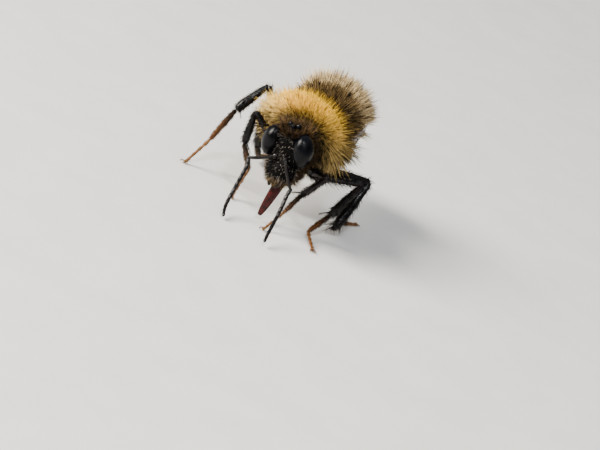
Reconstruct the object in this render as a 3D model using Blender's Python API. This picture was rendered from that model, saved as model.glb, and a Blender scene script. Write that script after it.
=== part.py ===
"""A carder bumblebee standing on six feet, as closed solids out to the tips of its coat.

Metres, +Z up, the floor at z = 0. The bee faces -Y and its left side is at +X. The layout below
is in millimetres, with the middle of the thorax at x = 0, y = 0; ORIGIN then moves the origin to
the floor under the middle of the whole bee.
"""
import math

import bmesh
import bpy
from mathutils import Matrix, Vector

MM = 0.001
GAP = 0.1                          # thin cut between neighbouring pieces
ORIGIN = Vector((-0.65, 0.40, 0.0))
SIDEWAYS = (1.0, 0.0, 0.0)

# Trunk, out to the coat's tips: radii are side, front, back, up, down.
THORAX_CENTRE = Vector((-0.35, 0.0, 5.15))
THORAX_RADII = (3.75, 2.95, 3.0, 2.8, 2.0)
THORAX_FLANK = 2.8                 # how square the thorax is below, where 2 is round
WAIST = 2.25                       # y of the cut between thorax and abdomen
ABDOMEN_TIP = 8.75
ABDOMEN_RADIUS = 2.9
ABDOMEN_HEIGHT = 0.95              # its height as a share of its width
ABDOMEN_WIDEST = 0.36              # the share of its length where it is widest
ABDOMEN_SPANS = (0.82, 0.64)       # the share over which it closes, before and behind that
ABDOMEN_FULLNESS = 1.7             # how full its outline is, where 2 is an ellipse
ABDOMEN_AXIS = Vector((-0.2, 0.0, 5.3))   # the abdomen's axis where it starts
ABDOMEN_SWAY = 0.33                # how far the tip lies to the bee's right of that
ABDOMEN_DROOP = 0.95               # and how far below it
ABDOMEN_CUTS = (2.35, 3.45, 4.55, 5.6, 6.6, 7.55, ABDOMEN_TIP)

# Head: its centre, and the way it is turned, tilted and nodded.
HEAD_CENTRE = Vector((-0.1, -3.3, 4.52))
HEAD_YAW, HEAD_ROLL, HEAD_NOD = (math.radians(a) for a in (-12.0, -11.0, 3.0))
HEAD_RADII = (1.5, 1.25, 1.05, 1.85, 1.95)
CHIN_LINE = -0.4                   # below this height the head draws in, and its face juts out
CHIN_DROP = 1.55                   # how far below that the change is complete
CHIN_TAPER = 0.3                   # the share of its width that it loses
CHIN_JUT = 0.5
EYE_CENTRE = Vector((1.1, -0.4, 0.42))
EYE_RADII = (0.52, 0.7, 0.7, 1.0, 1.0)
EYE_TILT = math.radians(9.0)       # how far their tops lean in, and then back
EYE_RAKE = math.radians(8.0)

# Legs, for the left (+1) and right (-1) side: hip, trochanter, knee, end of the tibia, end of
# the first foot joint, foot on the floor.
LEGS = {
    ("front", 1): ((0.3, -1.2, 3.85), (0.75, -1.35, 3.6), (2.47, -3.4, 4.05), (1.77, -3.0, 2.38),
                   (1.4, -4.0, 1.2), (1.1, -5.0, 0.0)),
    ("front", -1): ((-0.3, -1.2, 3.85), (-0.75, -1.35, 3.6), (-3.0, -2.1, 4.88), (-2.93, -1.9, 3.08),
                    (-2.1, -2.25, 1.85), (-2.0, -2.95, 0.0)),
    ("middle", 1): ((0.35, -0.2, 3.6), (1.0, -0.2, 3.15), (3.96, 0.2, 3.65), (3.44, -0.5, 1.45),
                    (3.1, -2.2, 0.4), (3.9, -3.8, 0.0)),
    ("middle", -1): ((-0.35, -0.2, 3.75), (-1.0, -0.2, 3.5), (-3.7, 0.6, 5.85), (-4.68, -0.5, 4.2),
                     (-5.2, -0.9, 1.85), (-5.7, -1.6, 0.0)),
    ("hind", 1): ((0.4, 0.9, 3.7), (1.0, 0.95, 3.25), (4.05, 2.3, 3.35), (3.9, 0.85, 0.8),
                  (3.8, 2.6, 0.32), (4.3, 4.2, 0.0)),
    ("hind", -1): ((-0.4, 0.9, 3.85), (-1.0, 0.95, 3.6), (-3.65, 2.75, 4.25), (-3.35, 4.2, 1.6),
                   (-3.25, 5.7, 0.45), (-3.1, 7.25, 0.0)),
}
LEG_PIECES = ("coxa", "femur", "tibia", "basitarsus", "tarsus")
# Radii at the start, the middle and the end of each leg piece, with its short hair.
LEG_RADII = {
    "front": ((0.42, 0.42, 0.36), (0.3, 0.42, 0.3), (0.26, 0.34, 0.3), (0.27, 0.28, 0.26)),
    "middle": ((0.42, 0.42, 0.36), (0.3, 0.44, 0.32), (0.28, 0.38, 0.36), (0.28, 0.32, 0.27)),
    "hind": ((0.45, 0.45, 0.4), (0.34, 0.46, 0.34), (0.3, 0.52, 0.5), (0.34, 0.4, 0.3)),
}
LEG_WIDEST = 0.55                  # the share of a piece's length where it is widest
LEG_OVERLAP = 0.6                  # how far a piece runs past its joints before it is trimmed
HIND_FLATNESS = 0.72               # how thin the hind tibia and first foot joint are
FOOT_RADIUS = 0.25
FOOT_STEP = 0.42                   # how far behind its flat the foot turns down
FOOT_LIFT = 0.31                   # and how high above the floor

# Feelers, tongue and jaws. The sockets, tongue and jaws are given on the head.
SOCKET = Vector((0.36, -1.12, -0.3))
FEELER_RADIUS = 0.25
FEELERS = {
    1: ((1.2, -4.85, 2.87), (1.38, -5.35, 2.0), (1.5, -6.0, 1.42), (1.62, -6.75, 0.97),
        (1.72, -7.4, 0.62), (1.85, -8.0, 0.36)),
    -1: ((-1.73, -4.75, 3.24), (-1.68, -5.2, 2.2), (-1.64, -5.6, 1.42), (-1.56, -6.15, 0.8),
         (-1.42, -6.75, 0.45), (-1.15, -7.3, 0.34)),
}
TONGUE = ((0.34, -3.6, 2.9), (0.32, -3.8, 2.3), (0.24, -4.0, 1.3), (0.17, -4.15, 0.32))
TONGUE_RADII = (0.27, 0.27, 0.26, 0.25)
JAW = (Vector((0.5, -0.75, -1.45)), Vector((0.45, -0.95, -1.8)), Vector((0.3, -1.05, -2.1)))
JAW_RADII = (0.25, 0.27, 0.25)

# Wings folded down each flank: places along the abdomen, and the sheet's top and bottom edge
# measured around the flank from the line where it touches.
WING_ROOT, WING_TIP = 0.7, 9.15
WING_THICKNESS = 0.5
WING_ROOM = 1.2                    # how far out the flank stays clear of it
WING_ANGLE = math.radians(100.0)   # where the sheet touches the flank, from straight up
WING_RADIUS = 2.36
WING_CAMBER = 3.6
WING_TUCK = 0.95                   # how far the tips draw in behind
FOREWING = ((0.0, -0.25, 0.25), (0.15, -0.3, 0.28), (0.3, -0.34, 0.6), (0.5, -0.36, 1.4),
            (0.72, -0.36, 1.95), (0.88, -0.15, 1.95), (0.97, 0.35, 1.55), (1.0, 0.75, 1.2))
HINDWING = ((0.08, -0.86, -0.35), (0.2, -0.9, -0.44), (0.38, -1.0, -0.46), (0.58, -1.25, -0.48),
            (0.72, -1.15, -0.46), (0.79, -0.95, -0.5))

PAINTS = {                         # colour, roughness
    "coat_gold": ((0.55, 0.32, 0.09), 0.9),
    "coat_buff": ((0.5, 0.4, 0.27), 0.9),
    "coat_dark": ((0.03, 0.025, 0.02), 0.85),
    "shell": ((0.012, 0.011, 0.012), 0.35),
    "eye": ((0.01, 0.01, 0.014), 0.15),
    "foot": ((0.1, 0.035, 0.012), 0.45),
    "tongue": ((0.1, 0.012, 0.006), 0.35),
    "wing": ((0.14, 0.07, 0.025), 0.3),
}


def clear_scene():
    for old in list(bpy.data.objects):
        bpy.data.objects.remove(old, do_unlink=True)


def paint(name):
    material = bpy.data.materials.get(name)
    if material is None:
        colour, roughness = PAINTS[name]
        material = bpy.data.materials.new(name)
        material.use_nodes = True
        shader = material.node_tree.nodes["Principled BSDF"]
        shader.inputs["Base Color"].default_value = (*colour, 1.0)
        shader.inputs["Roughness"].default_value = roughness
        shader.inputs["Metallic"].default_value = 0.0
    return material


def to_object(name, bm):
    """Turn a shape in layout millimetres into an object in metres."""
    for vert in bm.verts:
        vert.co = (vert.co - ORIGIN) * MM
    bmesh.ops.recalc_face_normals(bm, faces=bm.faces)
    mesh = bpy.data.meshes.new(name)
    bm.to_mesh(mesh)
    bm.free()
    mesh.shade_smooth()
    mesh.set_sharp_from_angle(angle=math.radians(40.0))
    thing = bpy.data.objects.new(name, mesh)
    bpy.context.collection.objects.link(thing)
    return thing


def solid(name, bm, paint_name):
    thing = to_object(name, bm)
    thing.data.materials.append(paint(paint_name))
    return thing


def cutter(name, bm):
    thing = to_object("cut_" + name, bm)
    thing.hide_render = True
    thing.display_type = "WIRE"
    return thing


def carve(thing, tool):
    """Take a cutter's shape out of a piece."""
    knife = thing.modifiers.new(tool.name, "BOOLEAN")
    knife.operation = "DIFFERENCE"
    knife.solver = "EXACT"
    knife.object = tool


def stack(rings):
    """Skin a list of rings of points into one closed shape; a ring of one point is a pole."""
    bm = bmesh.new()
    loops = [[bm.verts.new(p) for p in ring] for ring in rings]
    for low, high in zip(loops, loops[1:]):
        count = max(len(low), len(high))
        for i in range(count):
            j = (i + 1) % count
            if len(low) == 1:
                bm.faces.new((low[0], high[j], high[i]))
            elif len(high) == 1:
                bm.faces.new((low[i], low[j], high[0]))
            else:
                bm.faces.new((low[i], low[j], high[j], high[i]))
    for loop in (loops[0], loops[-1]):
        if len(loop) > 2:
            bm.faces.new(loop)
    return bm


def egg(radii, rings=12, sides=24, square=2.0, grow=0.0):
    """A lopsided ellipsoid about the origin, its poles on the y axis; square fills its lower half."""
    side, front, back, up, down = (radius + grow for radius in radii)
    layers = []
    for i in range(rings + 1):
        turn = math.pi * i / rings
        y = -math.cos(turn) * (front if i * 2 < rings else back)
        size = math.sin(turn)
        if i in (0, rings):
            layers.append([Vector((0.0, y, 0.0))])
            continue
        layer = []
        for k in range(sides):
            a = 2.0 * math.pi * k / sides
            height, power = (up, 1.0) if math.cos(a) > 0.0 else (down, 2.0 / square)
            wide = math.copysign(abs(math.sin(a)) ** power, math.sin(a))
            high = math.copysign(abs(math.cos(a)) ** power, math.cos(a))
            layer.append(Vector((side * size * wide, y, height * size * high)))
        layers.append(layer)
    return stack(layers)


def across_limb(direction, broad):
    """Two directions across a limb, the first as near to broad as can be."""
    first = (broad - direction * broad.dot(direction)).normalized()
    return first, direction.cross(first)


def tube(path, radii, sides=10, broad=(0.0, 1.0, 0.0), flatten=1.0, grow=0.0, foot=False):
    """A closed tube through the points of a path; a foot ends in a level disc."""
    path = [Vector(p) for p in path]
    broad = Vector(broad)
    layers = []
    for i, point in enumerate(path):
        before = path[max(i - 1, 0)]
        after = path[min(i + 1, len(path) - 1)]
        direction = (after - before).normalized()
        if foot and i == len(path) - 1:
            direction = Vector((0.0, 0.0, -1.0))
        first, second = across_limb(direction, broad)
        broad = first
        wide = radii[i] + grow
        thin = radii[i] * flatten + grow
        layers.append([point + first * wide * math.cos(2.0 * math.pi * k / sides)
                       + second * thin * math.sin(2.0 * math.pi * k / sides) for k in range(sides)])
    return stack(layers)


def trim(bm, point, normal):
    """Cut a shape at a plane, drop what lies beyond the normal's side and close the cut."""
    parts = bm.verts[:] + bm.edges[:] + bm.faces[:]
    cut = bmesh.ops.bisect_plane(bm, geom=parts, dist=1.0e-5, plane_co=point, plane_no=normal,
                                 clear_outer=True)
    rim = [item for item in cut["geom_cut"] if isinstance(item, bmesh.types.BMEdge)]
    if rim:
        bmesh.ops.edgeloop_fill(bm, edges=rim)


def head_matrix():
    turn = (Matrix.Rotation(HEAD_YAW, 4, "Z") @ Matrix.Rotation(HEAD_ROLL, 4, "Y")
            @ Matrix.Rotation(HEAD_NOD, 4, "X"))
    return Matrix.Translation(HEAD_CENTRE) @ turn


def mirrored(vector, side):
    return Vector((vector.x * side, vector.y, vector.z))


def head_shape(grow=0.0):
    """Broad at the eyes, narrower and further forward at the jaws."""
    bm = egg(HEAD_RADII, rings=14, sides=28, grow=grow)
    for vert in bm.verts:
        drop = min(max((CHIN_LINE - vert.co.z) / CHIN_DROP, 0.0), 1.0)
        vert.co.x *= 1.0 - CHIN_TAPER * drop
        vert.co.y -= CHIN_JUT * drop
    bm.transform(head_matrix())
    return bm


def eye_shape(side, grow=0.0):
    bm = egg(EYE_RADII, rings=10, sides=16, grow=grow)
    lean = Matrix.Rotation(-EYE_TILT * side, 4, "Y") @ Matrix.Rotation(-EYE_RAKE, 4, "X")
    bm.transform(head_matrix() @ Matrix.Translation(mirrored(EYE_CENTRE, side)) @ lean)
    return bm


def jaw_path(side):
    place = head_matrix()
    return [place @ mirrored(point, side) for point in JAW]


def feeler_socket(side):
    return head_matrix() @ mirrored(SOCKET, side)


def thorax_shape():
    bm = egg(THORAX_RADII, rings=14, sides=32, square=THORAX_FLANK)
    bm.transform(Matrix.Translation(THORAX_CENTRE))
    trim(bm, Vector((0.0, WAIST, 0.0)), Vector((0.0, 1.0, 0.0)))
    return bm


def abdomen_axis(y):
    """How far along the abdomen a place is, from 0 to 1, and the middle of the abdomen there."""
    part = (y - ABDOMEN_CUTS[0]) / (ABDOMEN_TIP - ABDOMEN_CUTS[0])
    bent = max(part, 0.0)
    return part, ABDOMEN_AXIS + Vector((-ABDOMEN_SWAY * bent, y, -ABDOMEN_DROOP * bent ** 1.5))


def abdomen_ring(y, sides=28):
    """One ring of the abdomen's outline: an oval that closes towards the tip."""
    part, centre = abdomen_axis(y)
    span = ABDOMEN_SPANS[part > ABDOMEN_WIDEST]
    closing = abs(part - ABDOMEN_WIDEST) / span
    wide = ABDOMEN_RADIUS * math.sqrt(max(1.0 - closing ** ABDOMEN_FULLNESS, 0.0))
    if wide < GAP / 2.0:
        return [centre]
    high = wide * ABDOMEN_HEIGHT
    turns = [2.0 * math.pi * k / sides for k in range(sides)]
    return [centre + Vector((wide * math.sin(a), 0.0, high * math.cos(a))) for a in turns]


def abdomen_length(number):
    """One of the six lengths, with a cut's width left before the next.

    The last one's rings crowd towards its round tip.
    """
    start, end = ABDOMEN_CUTS[number - 1], ABDOMEN_CUTS[number]
    last = number == len(ABDOMEN_CUTS) - 1
    if not last:
        end -= GAP
    steps, crowding = (5, 0.55) if last else (2, 1.0)
    places = [start + (end - start) * (i / steps) ** crowding for i in range(steps + 1)]
    return stack([abdomen_ring(y) for y in places])


def wing_point(part, around, side):
    """A point of the wing's sheet, and the direction out from the flank there."""
    y = WING_ROOT + (WING_TIP - WING_ROOT) * part
    along, axis = abdomen_axis(y)
    out = Vector((math.sin(WING_ANGLE) * side, 0.0, math.cos(WING_ANGLE)))
    down = Vector((math.cos(WING_ANGLE) * side, 0.0, -math.sin(WING_ANGLE)))
    reach = WING_RADIUS - WING_TUCK * max(along - ABDOMEN_WIDEST, 0.0) ** 1.6
    bend = around * around / (2.0 * WING_CAMBER)
    return axis + out * (reach - bend) + down * around, (out - down * -around / WING_CAMBER).normalized()


def wing_edges(outline, part):
    """Top and bottom edge at a place along the wing, between the outline's points."""
    for (p0, top0, low0), (p1, top1, low1) in zip(outline, outline[1:]):
        if part <= p1 + 1.0e-9:
            blend = (part - p0) / (p1 - p0)
            return top0 + (top1 - top0) * blend, low0 + (low1 - low0) * blend
    return outline[-1][1:]


def wing_shape(outline, side, grow=0.0, outward=0.0, steps=12, across=5):
    """A sheet of even thickness over the flank; outward thickens its outer side only."""
    start, end = outline[0][0], outline[-1][0]
    inner, outer = [], []
    for i in range(steps + 1):
        part = start + (end - start) * i / steps
        top, low = wing_edges(outline, part)
        top, low = top - grow, low + grow
        part += (grow / (WING_TIP - WING_ROOT)) * (2.0 * i / steps - 1.0)
        rows = ([], [])
        for k in range(across):
            point, out = wing_point(part, top + (low - top) * k / (across - 1), side)
            rows[0].append(point - out * (WING_THICKNESS / 2.0 + grow))
            rows[1].append(point + out * (WING_THICKNESS / 2.0 + grow + outward))
        inner.append(rows[0])
        outer.append(rows[1])
    return stack([low_row + high_row[::-1] for low_row, high_row in zip(inner, outer)])


def leg_shape(kind, side, number, grow=0.0):
    """One piece of a leg, mitred at its joints with a thin cut."""
    joints = [Vector(p) for p in LEGS[kind, side]]
    start, end = joints[number], joints[number + 1]
    direction = (end - start).normalized()
    last = number == len(LEG_PIECES) - 1
    if last:
        level = Vector((end.x - start.x, end.y - start.y, 0.0)).normalized()
        turn = end - level * FOOT_STEP + Vector((0.0, 0.0, FOOT_LIFT))
        path = [start - (turn - start).normalized() * FOOT_RADIUS, (start + turn) / 2.0, turn, end]
        bm = tube(path, [FOOT_RADIUS] * len(path), grow=grow, foot=True)
    else:
        first, middle, final = LEG_RADII[kind][number]
        path = [start, start.lerp(end, LEG_WIDEST), end, end + direction * LEG_OVERLAP]
        sizes = [first, middle, final, final]
        if number > 0:
            path.insert(0, start - direction * LEG_OVERLAP)
            sizes.insert(0, first)
        flatten = HIND_FLATNESS if kind == "hind" and number in (2, 3) else 1.0
        bm = tube(path, sizes, flatten=flatten, grow=grow)
    if grow:
        return bm
    if number > 0:
        bend = (direction + (start - joints[number - 1]).normalized()).normalized()
        trim(bm, start + bend * GAP / 2.0, -bend)
    if not last:
        bend = (direction + (joints[number + 2] - end).normalized()).normalized()
        trim(bm, end - bend * GAP / 2.0, bend)
    return bm


def leg_root_cutters(kind, side):
    """The room that the trunk's coat leaves for a leg down to its shin."""
    return [cutter(f"{kind}_{side}_{number}", leg_shape(kind, side, number, grow=GAP))
            for number in range(3)]


def make_head():
    head = solid("head", head_shape(), "coat_dark")
    for side, word in ((1, "left"), (-1, "right")):
        solid("eye_" + word, eye_shape(side), "eye")
        carve(head, cutter("eye_" + word, eye_shape(side, grow=GAP)))
        solid("mandible_" + word, tube(jaw_path(side), JAW_RADII), "tongue")
        carve(head, cutter("mandible_" + word, tube(jaw_path(side), JAW_RADII, grow=GAP)))
        make_feeler(head, side, word)
    solid("proboscis", tube(TONGUE, TONGUE_RADII), "tongue")
    carve(head, cutter("proboscis", tube(TONGUE, TONGUE_RADII, grow=GAP)))
    return head


def make_feeler(head, side, word):
    """The scape from its socket to the elbow, then the long bent flagellum."""
    joints = [Vector(p) for p in FEELERS[side]]
    socket, elbow = feeler_socket(side), joints[0]
    first = (elbow - socket).normalized()
    second = (joints[1] - elbow).normalized()
    bend = (first + second).normalized()
    size = FEELER_RADIUS
    scape = tube([socket, socket.lerp(elbow, 0.5), elbow + first * size * 2.0], [size] * 3, sides=8,
                 broad=SIDEWAYS)
    trim(scape, elbow - bend * GAP / 2.0, bend)
    solid("antenna_" + word + "_scape", scape, "shell")
    rest = [elbow - second * size * 2.0] + joints[1:]
    flagellum = tube(rest, [size] * len(rest), sides=8, broad=SIDEWAYS)
    trim(flagellum, elbow + bend * GAP / 2.0, -bend)
    solid("antenna_" + word + "_flagellum", flagellum, "shell")
    room = tube([socket - first * GAP, elbow], [size] * 2, sides=8, broad=SIDEWAYS, grow=GAP)
    carve(head, cutter("scape_" + word, room))


def make_trunk():
    """Thorax and abdomen, with room for the head, the wings and the legs."""
    thorax = solid("thorax", thorax_shape(), "coat_gold")
    carve(thorax, cutter("head", head_shape(grow=GAP)))
    paints = ("coat_dark", "coat_buff", "coat_buff", "coat_dark", "coat_gold", "coat_gold")
    lengths = [solid(f"abdomen_{n}", abdomen_length(n), paints[n - 1]) for n in range(1, 7)]
    return thorax, lengths


def make_wings(thorax, lengths):
    for side, word in ((1, "left"), (-1, "right")):
        for name, outline in (("forewing", FOREWING), ("hindwing", HINDWING)):
            solid(f"{name}_{word}", wing_shape(outline, side), "wing")
            room = cutter(f"{name}_{word}", wing_shape(outline, side, grow=GAP, outward=WING_ROOM))
            for piece in [thorax] + lengths:
                carve(piece, room)


def make_legs(trunk_parts):
    for kind, side in LEGS:
        word = "left" if side > 0 else "right"
        for number, piece in enumerate(LEG_PIECES):
            paint_name = "foot" if number > 2 else "shell"
            solid(f"leg_{kind}_{word}_{piece}", leg_shape(kind, side, number), paint_name)
        for tool in leg_root_cutters(kind, side):
            for part in trunk_parts:
                carve(part, tool)


clear_scene()
the_head = make_head()
the_thorax, the_lengths = make_trunk()
make_wings(the_thorax, the_lengths)
make_legs([the_thorax, the_head])
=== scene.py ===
"""A carder bee as a still, life-size model: skin, coat, eyes, mouthparts, feelers, wings and legs.

Every piece is shaped in millimetres, in the frame's own place with the floor at height 0, and
finish_piece() brings it to metres. +X is the bee's left, -Y its front and +Z up.
"""

import math
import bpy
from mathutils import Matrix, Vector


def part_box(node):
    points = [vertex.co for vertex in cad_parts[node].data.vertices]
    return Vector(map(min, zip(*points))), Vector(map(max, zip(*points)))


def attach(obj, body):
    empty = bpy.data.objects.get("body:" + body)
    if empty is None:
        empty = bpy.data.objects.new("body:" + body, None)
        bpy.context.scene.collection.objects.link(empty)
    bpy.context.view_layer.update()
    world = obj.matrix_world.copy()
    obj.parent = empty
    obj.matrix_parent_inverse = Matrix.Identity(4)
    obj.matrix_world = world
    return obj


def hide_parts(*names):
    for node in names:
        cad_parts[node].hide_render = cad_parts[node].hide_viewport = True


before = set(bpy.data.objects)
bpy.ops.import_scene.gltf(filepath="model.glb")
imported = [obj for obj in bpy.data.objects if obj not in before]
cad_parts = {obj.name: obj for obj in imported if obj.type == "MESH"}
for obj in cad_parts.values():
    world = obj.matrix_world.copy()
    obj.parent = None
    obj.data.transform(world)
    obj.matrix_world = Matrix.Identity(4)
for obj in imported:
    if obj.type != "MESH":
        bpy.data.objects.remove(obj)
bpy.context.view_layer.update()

from types import SimpleNamespace

import bpy
import numpy as np
from mathutils import Matrix, Vector
from mathutils.bvhtree import BVHTree
from mathutils.kdtree import KDTree

MM = 0.001
SIDES = (("left", 1), ("right", -1))
UP, REAR = Vector((0, 0, 1)), Vector((0, 1, 0))
SEED = 7

# Head, in its own axes: X to the bee's left, -Y forward, +Z to the crown.
HEAD_YAW, HEAD_ROLL, HEAD_NOD = math.radians(-12), math.radians(-11), math.radians(3)
EYES_FROM_HEAD = Vector((0, -0.4, 0.42))  # middle of both eyes, from the head's middle
EYE_AT, EYE_RADII = (1.04, -0.43, 0.42), Vector((0.66, 0.8, 1.02))
EYE_TILT, EYE_RAKE = math.radians(9), math.radians(8)  # how far their tops lean in, and back
EYE_TOP, EYE_ENDS, EYE_INNER = 0.07, 0.05, 0.85  # fuller above, slim at the ends, flat inside
HEAD_AT, HEAD_RADII = (0, 0, 0.1), (1.2, 0.93, 1.58)
CLYPEUS_AT, CLYPEUS_RADII = (0, -0.72, -1.12), (0.74, 0.48, 0.74)
CHEEK_AT, CHEEK_RADII = (0.5, -0.35, -1.05), (0.5, 0.5, 0.7)
BROW_AT, BROW_RADII = (0, -0.62, 0.28), (0.8, 0.32, 1)
SOCKET_AT, SOCKET_RADIUS = (0.36, -1.06, -0.3), 0.16
OCELLI = (Vector((0, -0.42, 1.63)), Vector((0.27, -0.26, 1.69)), Vector((-0.27, -0.26, 1.69)))
OCELLUS_RADIUS, OCELLI_LEAN = 0.16, math.radians(30)
LIP_AT, LIP_RADII = Vector((0, -0.98, -1.74)), Vector((0.36, 0.14, 0.2))

# Trunk: the skin's size, from the thorax's middle, and the coat's depth over the abdomen.
THORAX_RISE, THORAX_REACH = 2.8, 2.95  # from the thorax's middle up and forward to the tips
THORAX_SKIN = (2.25, 1.85, 1.85, 1.5)  # sideways, forward and back, up, down
THORAX_BACK = (0.2, 0.98, 0)  # the way the rump faces, whose hair is darkened with painted shade
ABDOMEN_COAT = 0.9
ABDOMEN_WIDEST, ABDOMEN_SPANS = 0.36, (0.6, 0.64)  # where it is widest, and how it closes
ABDOMEN_FULLNESS = 1.7
TAIL_CAP = 0.5  # how far the tail's round end reaches
TAIL_ARC = [math.radians(angle) for angle in (25, 50, 70, 83)]
RING_STEP, RING_LEAST = 0.05, 0.15  # how far a ring's rear edge stands out; least half-breadth
NECK_RADIUS, WAIST_RADIUS = 0.75, 0.88
NECK_FRONT, NECK_REAR = Vector((0, 0.5, 0)), Vector((0, -1.3, -0.3))  # from the head; from the thorax
WAIST_FRONT, WAIST_REACH = Vector((0, 1.3, -0.2)), 0.6  # from the thorax; into the abdomen
SKIN_VOXEL = 0.07

# Wings: sheets bent round the flanks.
WING_ROOT, WING_TIP = 0.3, 8.75
WING_ANGLE = math.radians(100)  # where the sheet touches the flank, from straight up
WING_RADIUS, WING_CAMBER, WING_TUCK, WING_TUCK_START = 2.36, 3.6, 0.95, 0.35
MEMBRANE, VEIN, RIPPLE = 0.03, 0.035, 0.03
WING_CAP_RADII = (0.34, 0.45, 0.4)
FOREWING = ((0, -0.25, 0.25), (0.15, -0.3, 0.28), (0.3, -0.34, 0.6), (0.5, -0.36, 1.4),
            (0.72, -0.36, 1.95), (0.88, -0.15, 1.95), (0.97, 0.35, 1.55), (1, 0.75, 1.2))
HINDWING = ((0.08, -0.86, -0.35), (0.2, -0.9, -0.44), (0.38, -1, -0.46), (0.58, -1.25, -0.48),
            (0.72, -1.15, -0.46), (0.79, -0.95, -0.5))
# Veins run from root to tip; each stop is (share of the length, share of the breadth from the top edge).
FOREWING_VEINS = (
    ((0, 0.9), (0.3, 0.97), (0.6, 0.985), (0.9, 0.97), (0.985, 0.8)),
    ((0, 0.75), (0.3, 0.8), (0.52, 0.84), (0.66, 0.93)),
    ((0, 0.45), (0.25, 0.42), (0.5, 0.5), (0.68, 0.6), (0.8, 0.62)),
    ((0, 0.2), (0.35, 0.12), (0.6, 0.06)),
    ((0.5, 0.84), (0.62, 0.74), (0.76, 0.74), (0.88, 0.95)),
    ((0.3, 0.8), (0.37, 0.6), (0.36, 0.42)),
    ((0.37, 0.6), (0.5, 0.64), (0.56, 0.74)),
    ((0.56, 0.74), (0.55, 0.6), (0.6, 0.55)),
    ((0.68, 0.75), (0.67, 0.66), (0.7, 0.61)),
    ((0.36, 0.42), (0.42, 0.25), (0.4, 0.1)),
    ((0.5, 0.5), (0.58, 0.32), (0.7, 0.25)),
)
HINDWING_VEINS = (
    ((0, 0.85), (0.4, 0.9), (0.75, 0.93), (1, 0.8)),
    ((0, 0.55), (0.4, 0.55), (0.7, 0.62)),
    ((0, 0.3), (0.35, 0.2), (0.6, 0.12)),
)

# Legs: each piece's flatness, and its (share of the length, half-width) stops.
LEG_PIECES = ("coxa", "femur", "tibia", "basitarsus", "tarsus")
LEG_PAIRS = {"front": 0.85, "middle": 1, "hind": 1.12}  # how stout each pair is
SPURS = {"front": 1, "middle": 1, "hind": 2}
LEG_FORMS = {
    "coxa": (0.95, (0, 0.3), (0.35, 0.35), (0.8, 0.27), (1, 0.2)),
    "femur": (0.85, (0, 0.15), (0.06, 0.22), (0.3, 0.31), (0.6, 0.3), (0.85, 0.23), (0.96, 0.21), (1, 0.12)),
    "tibia": (0.76, (0, 0.1), (0.05, 0.16), (0.25, 0.22), (0.6, 0.28), (0.85, 0.3), (0.96, 0.24), (1, 0.14)),
    "basitarsus": (0.7, (0, 0.12), (0.06, 0.2), (0.4, 0.23), (0.85, 0.19), (0.97, 0.16), (1, 0.1)),
}
TARSOMERES = 4
TARSOMERE = ((0, 0.06), (0.3, 0.09), (0.8, 0.115), (1, 0.08))
# how far each stop of a claw is ahead, aside and up
CLAW = ((0, 0.05, 0), (0.136, 0.128, 0.03), (0.289, 0.16, 0), (0.34, 0.144, 0))
CLAW_RADII, PAD_RADIUS = (0.04, 0.04, 0.028, 0.01), 0.1
SPUR_LENGTH, SPUR_RADII, SPUR_BOW = 1, (0.045, 0.0315, 0.00675), 0.04
FLOOR_CLEARANCE = 0.02

# Feelers and mouthparts.
SCAPE = ((0, 0.1), (0.08, 0.12), (0.5, 0.1), (0.92, 0.12), (1, 0.08))
ELBOW_RADIUS = 0.12
FLAGELLOMERES, FLAGELLUM_RADIUS, FLAGELLUM_TIP = 11, 0.135, 0.7
FLAGELLOMERE = ((0.04, 0.84), (0.25, 1), (0.75, 1.03), (0.96, 0.84))
SHEATH = ((0, 0.27), (0.2, 0.28), (0.6, 0.23), (0.9, 0.15), (1, 0.06))
SHEATH_PART, SHEATH_SIDE = 0.09, Vector((1, 0.25, 0))  # how far, and which way, its halves part
TONGUE = ((0, 0.08), (0.7, 0.07), (1, 0.03))
JAW = ((0, 0.2), (0.3, 0.23), (0.65, 0.19), (0.9, 0.12), (1, 0.05))
JAW_BOW = 0.24  # how far each jaw's tip curves in below the lip

# The coat. Lengths are in millimetres and counts are hairs.
HAIR_STOPS = np.array((0, 0.35, 0.7, 1))
HAIR_TAPER = np.array((1, 0.85, 0.5))
HAIR_SIDES, HAIR_POINTS = 3, 10  # three rings of three, and the tip
PATCH = 0.003  # each hair's share of the bake's map
CLUMP = 7  # hairs that lean to one tip
SHORTEST, THINNEST, THICKEST, LEG_THICK = 0.1, 0.014, 0.042, 0.026
HAIR_SINK = 0.03  # how far below the skin a hair starts
HAIR_LIFT = 0.12  # how far out along it what is in its way counts
LEG_ROOM = 0.55  # within this of a leg, hairs are shortened
ASKEW = np.array((0.31, 0.52, 0.8))  # a way that no hair or edge runs along
HEAD_ZONE = (1.75, 1.8, 2.3)  # half-sizes of the room whose hairs are the head's
BODY_HAIRS, PIECE_HAIRS = 76000, 12000  # in all, and at most in one piece

# Camera: VIEW's columns are the picture's right, its up, and the way back to the camera; the
# breadth is what it takes in at the aim point.
AZIMUTH, ELEVATION, ROLL = math.radians(9), math.radians(18), math.radians(27.5)
VIEW = (Matrix.Rotation(AZIMUTH, 3, "Z") @ Matrix.Rotation(math.pi / 2 - ELEVATION, 3, "X")
        @ Matrix.Rotation(ROLL, 3, "Z"))
CAMERA_AIM = Vector((2.87, -1.73, 0.17))
CAMERA_DISTANCE, CAMERA_BREADTH, SENSOR = 250.0, 36.36, 36.0


def shade(*screen):
    """A colour named by its red, green and blue on a screen, as the renderer's linear light."""
    return np.array([((c / 255 + 0.055) / 1.055) ** 2.4 if c > 10 else c / 255 / 12.92 for c in screen])


BLACK = shade(13, 11, 10)
UMBER = shade(74, 56, 36)
TAWNY = shade(150, 122, 78)
RUST = shade(124, 96, 62)
GINGER = shade(255, 200, 52)
STRAW = shade(248, 212, 132)
CREAM = shade(250, 218, 162)
BUFF = shade(226, 184, 122)
# Pale grey for a share of the short face hairs: painted glints on the black face.
PAINTED_GLINT = shade(226, 216, 202)
FOOT_DARK = shade(26, 17, 12)
FOOT_LIGHT = shade(116, 72, 38)

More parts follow.
